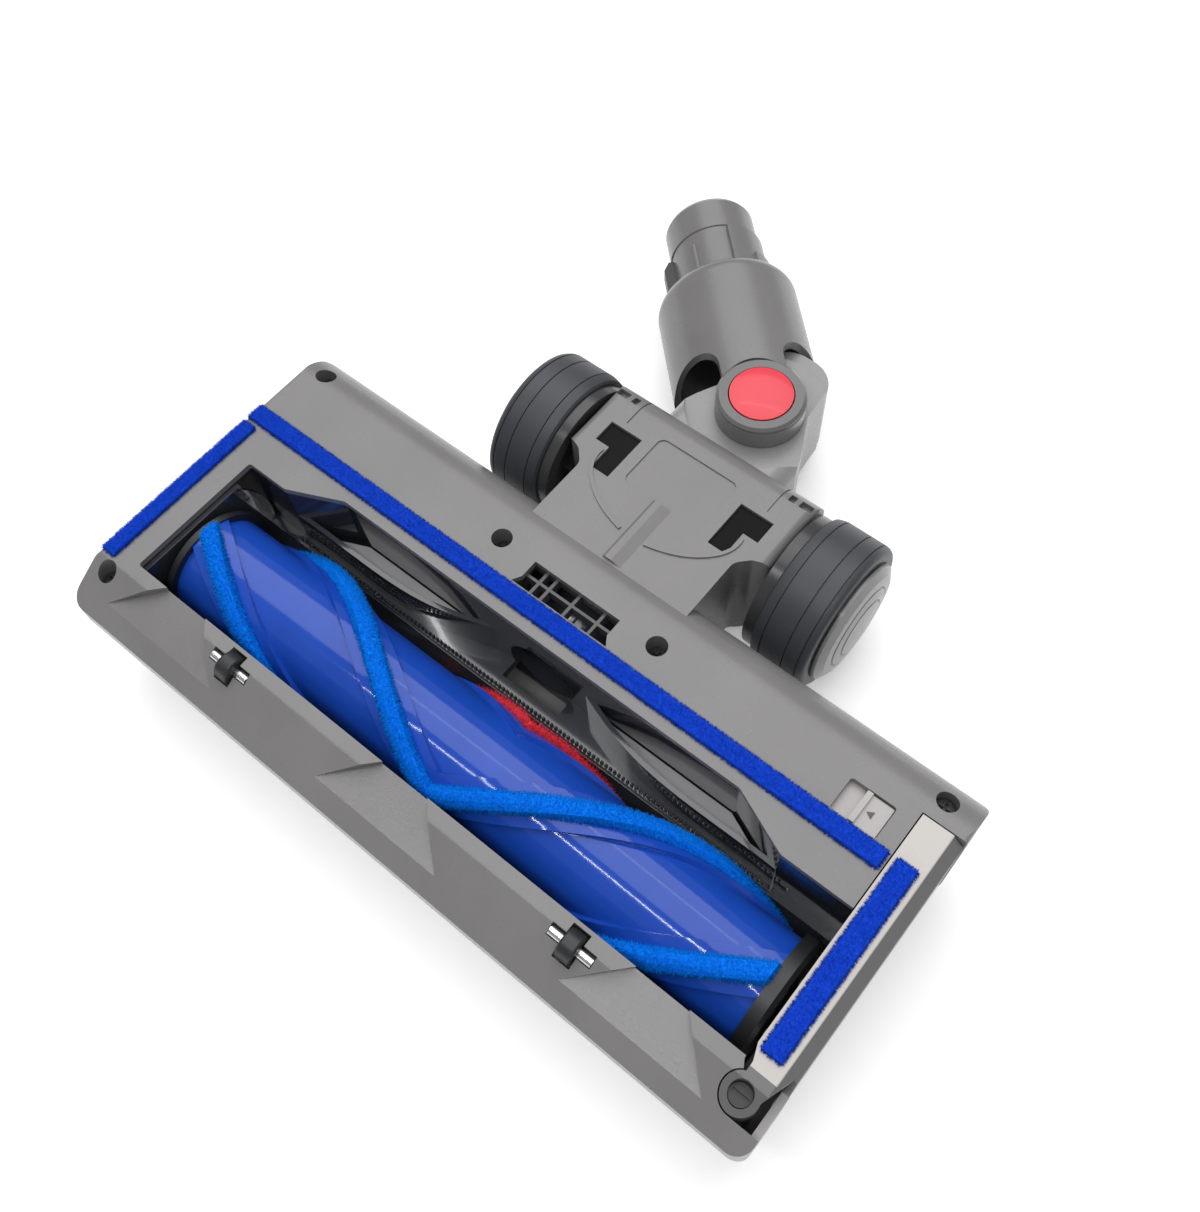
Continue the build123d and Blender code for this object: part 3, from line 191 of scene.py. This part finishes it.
# Felts: strips of dense blue pile, cut square and stuck into grooves of the soleplate and the door.
# Each is a backing with a crowned top, and short fibres that stand up from it.
def pile_finish(name, root, tip, sheen):
    """Dyed pile: darker at the root, lighter in patches, with a soft sheen."""
    material = bpy.data.materials.new(name)
    material.use_nodes = True
    tree = material.node_tree
    shader = tree.nodes["Principled BSDF"]
    place = tree.nodes.new("ShaderNodeTexCoord")
    tufts = tree.nodes.new("ShaderNodeTexNoise")
    tufts.inputs["Scale"].default_value = 1600
    tufts.inputs["Detail"].default_value = 3
    dye = tree.nodes.new("ShaderNodeValToRGB")
    dye.color_ramp.elements[0].position = 0.3
    dye.color_ramp.elements[0].color = (*root, 1)
    dye.color_ramp.elements[1].position = 0.68
    dye.color_ramp.elements[1].color = (*tip, 1)
    shader.inputs["Roughness"].default_value = 0.85
    shader.inputs["Specular IOR Level"].default_value = 0.1
    shader.inputs["Sheen Weight"].default_value = sheen
    shader.inputs["Sheen Roughness"].default_value = 0.5
    shader.inputs["Sheen Tint"].default_value = (*tip, 1)
    tree.links.new(place.outputs["Object"], tufts.inputs["Vector"])
    tree.links.new(tufts.outputs["Fac"], dye.inputs["Fac"])
    tree.links.new(dye.outputs["Color"], shader.inputs["Base Color"])
    return material


def pile(backing, density, fibre, thickness, lean, material):
    """Stands fibres all over a backing with a node group, and keeps the result as plain mesh."""
    group = bpy.data.node_groups.new(backing.name + "_pile", "GeometryNodeTree")
    group.interface.new_socket("Geometry", in_out="INPUT", socket_type="NodeSocketGeometry")
    group.interface.new_socket("Geometry", in_out="OUTPUT", socket_type="NodeSocketGeometry")
    source = group.nodes.new("NodeGroupInput")
    result = group.nodes.new("NodeGroupOutput")
    scatter = group.nodes.new("GeometryNodeDistributePointsOnFaces")
    scatter.inputs["Density"].default_value = density
    scatter.inputs["Seed"].default_value = 7
    blade = group.nodes.new("GeometryNodeMeshCone")
    blade.fill_type = "NONE"
    blade.inputs["Vertices"].default_value = 3
    blade.inputs["Radius Top"].default_value = 0
    blade.inputs["Radius Bottom"].default_value = thickness
    blade.inputs["Depth"].default_value = fibre
    tilt = group.nodes.new("FunctionNodeRandomValue")
    tilt.data_type = "FLOAT_VECTOR"
    tilt.inputs["Min"].default_value = (-lean, -lean, -3)
    tilt.inputs["Max"].default_value = (lean, lean, 3)
    turn = group.nodes.new("FunctionNodeRotateRotation")
    turn.rotation_space = "LOCAL"
    size = group.nodes.new("FunctionNodeRandomValue")
    size.inputs[2].default_value = 0.6
    size.inputs[3].default_value = 1.15
    plant = group.nodes.new("GeometryNodeInstanceOnPoints")
    lay = group.nodes.new("GeometryNodeStoreNamedAttribute")
    lay.data_type = "FLOAT_VECTOR"
    lay.domain = "INSTANCE"
    lay.inputs["Name"].default_value = "lay"
    ruffle = group.nodes.new("FunctionNodeRandomValue")
    ruffle.data_type = "FLOAT_VECTOR"
    ruffle.inputs["Min"].default_value = (-0.5, -0.5, -0.5)
    ruffle.inputs["Max"].default_value = (0.5, 0.5, 0.5)
    ruffle.inputs["Seed"].default_value = 3
    ruffled = group.nodes.new("ShaderNodeVectorMath")
    real = group.nodes.new("GeometryNodeRealizeInstances")
    stored = group.nodes.new("GeometryNodeInputNamedAttribute")
    stored.data_type = "FLOAT_VECTOR"
    stored.inputs["Name"].default_value = "lay"
    soften = group.nodes.new("GeometryNodeSetMeshNormal")
    soften.mode = "FREE"
    join = group.nodes.new("GeometryNodeJoinGeometry")
    link = group.links.new
    link(source.outputs[0], scatter.inputs["Mesh"])
    link(scatter.outputs["Points"], plant.inputs["Points"])
    link(scatter.outputs["Rotation"], turn.inputs["Rotation"])
    link(tilt.outputs[0], turn.inputs["Rotate By"])
    link(turn.outputs["Rotation"], plant.inputs["Rotation"])
    link(size.outputs[1], plant.inputs["Scale"])
    link(blade.outputs["Mesh"], plant.inputs["Instance"])
    link(plant.outputs["Instances"], lay.inputs["Geometry"])
    link(scatter.outputs["Normal"], ruffled.inputs[0])
    link(ruffle.outputs[0], ruffled.inputs[1])
    link(ruffled.outputs[0], lay.inputs["Value"])
    link(lay.outputs["Geometry"], real.inputs["Geometry"])
    link(real.outputs["Geometry"], soften.inputs["Mesh"])
    link(stored.outputs["Attribute"], soften.inputs["Custom Normal"])
    link(soften.outputs["Mesh"], join.inputs["Geometry"])
    link(source.outputs[0], join.inputs["Geometry"])
    link(join.outputs["Geometry"], result.inputs[0])
    grow = backing.modifiers.new("pile", "NODES")
    grow.node_group = group
    grown = bpy.data.meshes.new_from_object(backing.evaluated_get(bpy.context.evaluated_depsgraph_get()))
    backing.modifiers.clear()
    backing.data = grown
    grown.materials.clear()
    grown.materials.append(material)


felt_blue = pile_finish("felt_blue", (0.006, 0.05, 0.5), (0.01, 0.085, 0.74), 0.1)
felt_fibre = 0.0009
felt_fibre_width = 0.0001
felt_density = 1.9e7
felt_lean = 0.35
felt_round = 0.0006
for felt_node, felt_body in (("rear_felt", "head"), ("left_felt", "head"), ("door_felt", "door")):
    low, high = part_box(felt_node)
    felt_mesh = bmesh.new()
    bmesh.ops.create_cube(felt_mesh, size=1)
    bmesh.ops.scale(felt_mesh, vec=(high[0] - low[0], high[1] - low[1], high[2] - low[2] - 0.5 * felt_fibre),
                    verts=felt_mesh.verts)
    felt_middle = ((low[0] + high[0]) / 2, (low[1] + high[1]) / 2, (low[2] + high[2] - 0.5 * felt_fibre) / 2)
    bmesh.ops.translate(felt_mesh, verts=felt_mesh.verts, vec=felt_middle)
    top_edges = [e for e in felt_mesh.edges if min(v.co.z for v in e.verts) > (low[2] + high[2]) / 2]
    bmesh.ops.bevel(felt_mesh, geom=top_edges, offset=felt_round, segments=2, profile=0.5, affect="EDGES",
                    material=-1)
    felt_data = bpy.data.meshes.new(felt_node + "_pile")
    felt_mesh.to_mesh(felt_data)
    felt_mesh.free()
    felt = bpy.data.objects.new(felt_node + "_pile", felt_data)
    bpy.context.collection.objects.link(felt)
    pile(felt, felt_density, felt_fibre, felt_fibre_width, felt_lean, felt_blue)
    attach(felt, felt_body)
    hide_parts(felt_node)

# Plush and bristle strips: woven pile wound in a V round the brush, held between its ridges.
# The plush is bright blue and deep; the bristle strip is thin and red.
low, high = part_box("brush_ring")
axis_y = (low[1] + high[1]) / 2
axis_z = (low[2] + high[2]) / 2
tube_low, tube_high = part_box("brush_tube")
strip_inset = 0.0004
strip_left = tube_low[0] + strip_inset
strip_right = tube_high[0] - strip_inset
seat_radius = 0.0173
crown_flat = 0.0002
helix_rate = math.radians(1.8) * 1000
helix_steps = 90
strip_density = 8e6
strip_fibre_width = 0.00015
strip_lean = 0.5
plush_blue = pile_finish("plush_blue", (0.001, 0.13, 0.85), (0.002, 0.28, 1.0), 1.0)
bristle_red = pile_finish("bristle_red", (0.52, 0.02, 0.035), (0.85, 0.06, 0.09), 0.3)
for strip_node, apex_x, apex_angle, spread, crown, fibre, finish, slot_name in (
        ("plush_strip_front", 0.001, -58.0, 17.0, 0.0217, 0.0013, plush_blue, "plush_pile"),
        ("plush_strip_rear", 0.001, 176.0, 17.0, 0.0217, 0.0013, plush_blue, "plush_pile"),
        ("bristle_strip", 0.01, 58.0, 4.0, 0.0207, 0.0016, bristle_red, "red_bristle")):
    strip_mesh = bmesh.new()
    half = math.radians(spread) / 2
    middle = math.radians(apex_angle)
    flank = 0.6 * seat_radius + 0.4 * crown
    shoulder = 0.15 * seat_radius + 0.85 * crown
    top = crown - crown_flat
    profile = ((-1.0, seat_radius), (-1.06, flank), (-0.9, shoulder), (-0.5, top), (0.0, crown),
               (0.5, top), (0.9, shoulder), (1.06, flank), (1.0, seat_radius))
    for end_x in (strip_left, strip_right):
        run = end_x - apex_x
        outline = []
        for turn, radius in profile:
            angle = middle + turn * half
            corner = (apex_x, axis_y + radius * math.sin(angle), axis_z + radius * math.cos(angle))
            outline.append(strip_mesh.verts.new(corner))
        edges = [strip_mesh.edges.new((a, b)) for a, b in zip(outline, outline[1:] + outline[:1])]
        turn_angle = -helix_rate * abs(run)
        swept = bmesh.ops.spin(strip_mesh, geom=outline + edges, cent=(apex_x, axis_y, axis_z),
                               axis=(1, 0, 0), dvec=(run / helix_steps, 0, 0), angle=turn_angle,
                               steps=helix_steps, use_merge=False)
        end_edges = [e for e in swept["geom_last"] if isinstance(e, bmesh.types.BMEdge)]
        bmesh.ops.contextual_create(strip_mesh, geom=end_edges)
    bmesh.ops.remove_doubles(strip_mesh, verts=strip_mesh.verts, dist=1e-6)
    bmesh.ops.recalc_face_normals(strip_mesh, faces=strip_mesh.faces)
    strip_data = bpy.data.meshes.new(strip_node + "_pile")
    strip_mesh.to_mesh(strip_data)
    strip_mesh.free()
    strip = bpy.data.objects.new(strip_node + "_pile", strip_data)
    bpy.context.collection.objects.link(strip)
    pile(strip, strip_density, fibre, strip_fibre_width, strip_lean, finish)
    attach(strip, "brush")
    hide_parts(strip_node)

# Wheels: soft grey rubber tyres with fine mould lines round them, pressed on dark hubs with grey caps.
# They turn on stub axles at the sides of the carriage.
tyre_rubber = moulded("tyre_rubber", (0.047, 0.051, 0.059), (0.038, 0.042, 0.049), 0.46, 3000, 0.2)
crown_drop = 0.0006
groove_width = 0.00045
groove_depth = 0.0004
rubber_depth = 0.0043
for tyre_node, wheel_body, outward in (("tyre_left", "wheel_left", -1), ("tyre_right", "wheel_right", 1)):
    low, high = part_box(tyre_node)
    inner_x, outer_x = (high[0], low[0]) if outward < 0 else (low[0], high[0])
    tyre_width = high[0] - low[0]
    tyre_radius = (high[2] - low[2]) / 2
    rim_radius = tyre_radius - rubber_depth
    groove_floor = tyre_radius - groove_depth
    edge_radius = tyre_radius - 2.5 * crown_drop
    bend_radius = tyre_radius - 1.2 * crown_drop
    tread_radius = tyre_radius - 0.3 * crown_drop
    wheel_axis = Vector((inner_x, (low[1] + high[1]) / 2, (low[2] + high[2]) / 2))
    section = [(0, rim_radius), (0, edge_radius), (0.0006, bend_radius), (0.0025, tread_radius)]
    for share in (0.2, 0.62, 0.87):
        groove_x = share * tyre_width
        section += [(groove_x - groove_width / 2, tyre_radius), (groove_x - groove_width / 6, groove_floor),
                    (groove_x + groove_width / 6, groove_floor), (groove_x + groove_width / 2, tyre_radius)]
    section += [(tyre_width - 0.0015, tread_radius), (tyre_width - 0.0005, bend_radius),
                (tyre_width, edge_radius), (tyre_width, rim_radius)]
    tyre_mesh = bmesh.new()
    ring = [tyre_mesh.verts.new(wheel_axis + Vector((outward * x, 0, r))) for x, r in section]
    rim_edges = [tyre_mesh.edges.new(pair) for pair in zip(ring, ring[1:] + ring[:1])]
    bmesh.ops.spin(tyre_mesh, geom=ring + rim_edges, cent=wheel_axis, axis=(1, 0, 0), angle=2 * math.pi,
                   steps=120, use_merge=True)
    bmesh.ops.recalc_face_normals(tyre_mesh, faces=tyre_mesh.faces)
    tyre_data = bpy.data.meshes.new(tyre_node + "_rubber")
    tyre_mesh.to_mesh(tyre_data)
    tyre_mesh.free()
    tyre_data.materials.append(tyre_rubber)
    tyre = bpy.data.objects.new(tyre_node + "_rubber", tyre_data)
    bpy.context.collection.objects.link(tyre)
    tyre.data.shade_smooth()
    tyre.data.set_sharp_from_angle(angle=math.radians(35))
    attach(tyre, wheel_body)
    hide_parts(tyre_node)
hub_dark = moulded("hub_dark", (0.05, 0.05, 0.053), (0.035, 0.035, 0.038), 0.25, 2000, 0.05)
dress(hub_dark, "hub_left", "hub_right")
cap_grey = moulded("cap_grey", (0.25, 0.247, 0.25), (0.22, 0.217, 0.22), 0.28, 2400, 0.08)
dress(cap_grey, "hub_cap_left", "hub_cap_right")

# Button: glossy red plastic, domed, in its bezel at the swivel.
# It is a moulding of its own that slides down in the bezel when pressed.
button_red = moulded("button_red", (0.84, 0.04, 0.068), (0.78, 0.034, 0.058), 0.3, 1500, 0.03, 0.25, 0.4)
dress(button_red, "release_button")

# Comb: a row of small black teeth moulded on the strip along the back of the chamber.
# They strip hair from the brush; each tooth is a little block with a bevelled top.
low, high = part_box("comb_strip")
tooth_pitch = 0.0016
tooth_height = 0.0013
tooth_width = 0.0008
tooth_depth = 0.0009
tooth_sink = 0.0003
tooth_bevel = 0.00025
comb_mesh = bmesh.new()
bmesh.ops.create_cube(comb_mesh, size=1)
bmesh.ops.scale(comb_mesh, vec=(tooth_width, tooth_depth, tooth_height + tooth_sink), verts=comb_mesh.verts)
tooth_edges = [e for e in comb_mesh.edges if min(v.co.z for v in e.verts) > 0]
bmesh.ops.bevel(comb_mesh, geom=tooth_edges, offset=tooth_bevel, segments=1, profile=0.5, affect="EDGES",
                material=-1)
first_tooth = (low[0] + tooth_pitch, (low[1] + high[1]) / 2, high[2] + (tooth_height - tooth_sink) / 2)
bmesh.ops.translate(comb_mesh, verts=comb_mesh.verts, vec=first_tooth)
comb_data = bpy.data.meshes.new("comb_teeth")
comb_mesh.to_mesh(comb_data)
comb_mesh.free()
comb = bpy.data.objects.new("comb_teeth", comb_data)
bpy.context.collection.objects.link(comb)
row = comb.modifiers.new("row", "ARRAY")
row.use_relative_offset = False
row.use_constant_offset = True
row.constant_offset_displace = (tooth_pitch, 0, 0)
row.count = int((high[0] - low[0]) / tooth_pitch) - 1
comb_data.materials.append(moulded("comb_black", (0.03, 0.031, 0.035), (0.015, 0.016, 0.019), 0.3, 2200, 0.1))
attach(comb, "head")

# Latch mark: a small raised triangle on the slider that shows which way it moves.
# It is moulded with the slider and printed dark.
low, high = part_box("latch_slider")
soleplate_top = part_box("soleplate")[1][2]
mark_radius = 0.0013
mark_height = 0.0003
mark_reach = 0.0116
mark_sink = 0.00105
mark_mesh = bmesh.new()
bmesh.ops.create_circle(mark_mesh, cap_ends=True, segments=3, radius=mark_radius)
bmesh.ops.rotate(mark_mesh, verts=mark_mesh.verts, cent=(0, 0, 0),
                 matrix=Matrix.Rotation(math.radians(90), 3, "Z"))
raised = bmesh.ops.extrude_face_region(mark_mesh, geom=mark_mesh.faces[:])
raised_verts = [v for v in raised["geom"] if isinstance(v, bmesh.types.BMVert)]
bmesh.ops.translate(mark_mesh, verts=raised_verts, vec=(0, 0, mark_height))
bmesh.ops.recalc_face_normals(mark_mesh, faces=mark_mesh.faces)
bmesh.ops.translate(mark_mesh, verts=mark_mesh.verts,
                    vec=(low[0] + mark_reach, (low[1] + high[1]) / 2, soleplate_top - mark_sink))
mark_data = bpy.data.meshes.new("latch_mark")
mark_mesh.to_mesh(mark_data)
mark_mesh.free()
mark = bpy.data.objects.new("latch_mark", mark_data)
bpy.context.collection.objects.link(mark)
mark_data.materials.append(moulded("mark_grey", (0.09, 0.088, 0.09), (0.07, 0.068, 0.07), 0.45, 2400, 0.1))
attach(mark, "latch")

# Stage: pale floor, soft overhead light, two strip lamps, and the camera where the photograph was taken.
# The floor glows a little for camera, glossy and transmission rays, so that the backdrop stays white.
floor_mesh = bmesh.new()
bmesh.ops.create_grid(floor_mesh, x_segments=1, y_segments=1, size=3)
floor_data = bpy.data.meshes.new("floor")
floor_mesh.to_mesh(floor_data)
floor_mesh.free()
floor = bpy.data.objects.new("floor", floor_data)
bpy.context.collection.objects.link(floor)
paper = bpy.data.materials.new("paper_white")
paper.use_nodes = True
paper_shader = paper.node_tree.nodes["Principled BSDF"]
paper_shader.inputs["Roughness"].default_value = 0.9
paper_place = paper.node_tree.nodes.new("ShaderNodeTexCoord")
paper_noise = paper.node_tree.nodes.new("ShaderNodeTexNoise")
paper_noise.inputs["Scale"].default_value = 3
paper_tone = paper.node_tree.nodes.new("ShaderNodeValToRGB")
paper_tone.color_ramp.elements[0].color = (0.9, 0.9, 0.905, 1)
paper_tone.color_ramp.elements[1].color = (0.93, 0.93, 0.935, 1)
paper.node_tree.links.new(paper_place.outputs["Object"], paper_noise.inputs["Vector"])
paper.node_tree.links.new(paper_noise.outputs["Fac"], paper_tone.inputs["Fac"])
paper.node_tree.links.new(paper_tone.outputs["Color"], paper_shader.inputs["Base Color"])
rays = paper.node_tree.nodes.new("ShaderNodeLightPath")
seen = paper.node_tree.nodes.new("ShaderNodeMath")
seen.operation = "MAXIMUM"
seen_through = paper.node_tree.nodes.new("ShaderNodeMath")
seen_through.operation = "MAXIMUM"
lift = paper.node_tree.nodes.new("ShaderNodeMath")
lift.operation = "MULTIPLY"
lift.inputs[1].default_value = 0.3
paper_shader.inputs["Emission Color"].default_value = (1, 1, 1, 1)
paper.node_tree.links.new(rays.outputs["Is Camera Ray"], seen.inputs[0])
paper.node_tree.links.new(rays.outputs["Is Glossy Ray"], seen.inputs[1])
paper.node_tree.links.new(seen.outputs["Value"], seen_through.inputs[0])
paper.node_tree.links.new(rays.outputs["Is Transmission Ray"], seen_through.inputs[1])
paper.node_tree.links.new(seen_through.outputs["Value"], lift.inputs[0])
paper.node_tree.links.new(lift.outputs["Value"], paper_shader.inputs["Emission Strength"])
floor_data.materials.append(paper)

scene = bpy.context.scene
scene.view_settings.view_transform = "Standard"
world = bpy.data.worlds.new("studio")
world.use_nodes = True
world.node_tree.nodes["Background"].inputs["Color"].default_value = (1, 1, 1, 1)
world.node_tree.nodes["Background"].inputs["Strength"].default_value = 0.38
scene.world = world
sun_data = bpy.data.lights.new("skylight", "SUN")
sun_data.energy = 1.65
sun_data.angle = math.radians(60)
sun = bpy.data.objects.new("skylight", sun_data)
sun.rotation_euler = Vector((0.3, -0.4, -1)).to_track_quat("-Z", "Y").to_euler()
bpy.context.collection.objects.link(sun)
for lamp_name, place, aim, size, power in (
        ("strip_front", (0.1, -0.5, 1.3), (0, -0.03, 0), (1.6, 0.035), 6),
        ("strip_back", (-0.2, 0.5, 1.2), (0, 0, 0), (0.9, 0.05), 0.4)):
    lamp_data = bpy.data.lights.new(lamp_name, "AREA")
    lamp_data.shape = "RECTANGLE"
    lamp_data.size, lamp_data.size_y = size
    lamp_data.energy = power
    lamp = bpy.data.objects.new(lamp_name, lamp_data)
    lamp.location = place
    lamp.rotation_euler = (Vector(aim) - Vector(place)).to_track_quat("-Z", "Y").to_euler()
    bpy.context.collection.objects.link(lamp)

camera_data = bpy.data.cameras.new("photo_camera")
camera_data.sensor_fit = "HORIZONTAL"
camera_data.sensor_width = 36
camera_data.lens = 38.61
camera_data.clip_start = 0.01
camera = bpy.data.objects.new("photo_camera", camera_data)
bpy.context.collection.objects.link(camera)
sole_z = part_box("soleplate")[1][2]
across = Vector((0.7743, 0.6312, -0.0446))
upward = Vector((-0.5409, 0.6968, 0.4710))
back = Vector((0.3284, -0.3406, 0.8810))
turned = Matrix((across, upward, back)).transposed().to_4x4()
camera.matrix_world = Matrix.Translation((0.1274, axis_y - 0.0718, sole_z + 0.3257)) @ turned
scene.camera = camera
